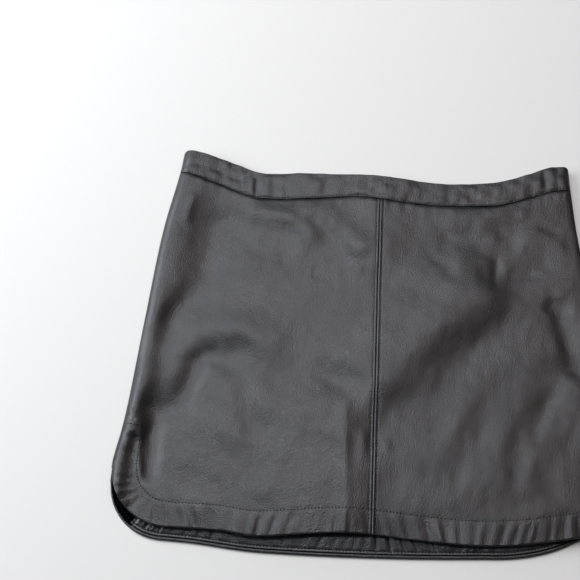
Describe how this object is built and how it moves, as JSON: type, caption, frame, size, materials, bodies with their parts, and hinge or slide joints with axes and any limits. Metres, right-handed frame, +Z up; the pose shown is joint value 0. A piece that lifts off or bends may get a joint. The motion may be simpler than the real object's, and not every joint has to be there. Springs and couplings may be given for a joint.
{
  "type": "leather mini skirt laid flat",
  "caption": "A-line leather mini skirt laid flat, with a waistband, centre front seam, rounded side slits and a concealed back zip.",
  "frame": {"origin": "on the surface the skirt lies on, under the middle of its outline", "axes": "+X to the right of the front as seen, +Y towards the waist, +Z up through the front"},
  "size_m": [0.4711, 0.3972, 0.0113],
  "materials": {
    "leather": "fine-grained satin charcoal black leather",
    "facing_leather": "the same leather used as a facing",
    "zip_cloth": "woven black zip tape",
    "zip_enamel": "black enamelled die-cast metal",
    "thread": "dark polyester sewing thread"
  },
  "bodies": {
    "skirt": {"front_panel_left": "leather", "front_panel_right": "leather", "back_panel_left": "leather", "back_panel_right": "leather", "waistband_front": "leather", "waistband_back_left": "leather", "waistband_back_right": "leather", "back_hem_facing_left": "facing_leather", "back_hem_facing_right": "facing_leather", "zip_tape": "zip_cloth", "zip_slider": "zip_enamel"},
    "pull": {"zip_pull": "zip_enamel"}
  },
  "joints": [
    {"name": "zip_pull_swing", "type": "hinge", "parent": "skirt", "child": "pull", "pos_m": [0, 0.168, 0.0016], "axis": [1, 0, 0], "range_deg": [0, 160]}
  ]
}
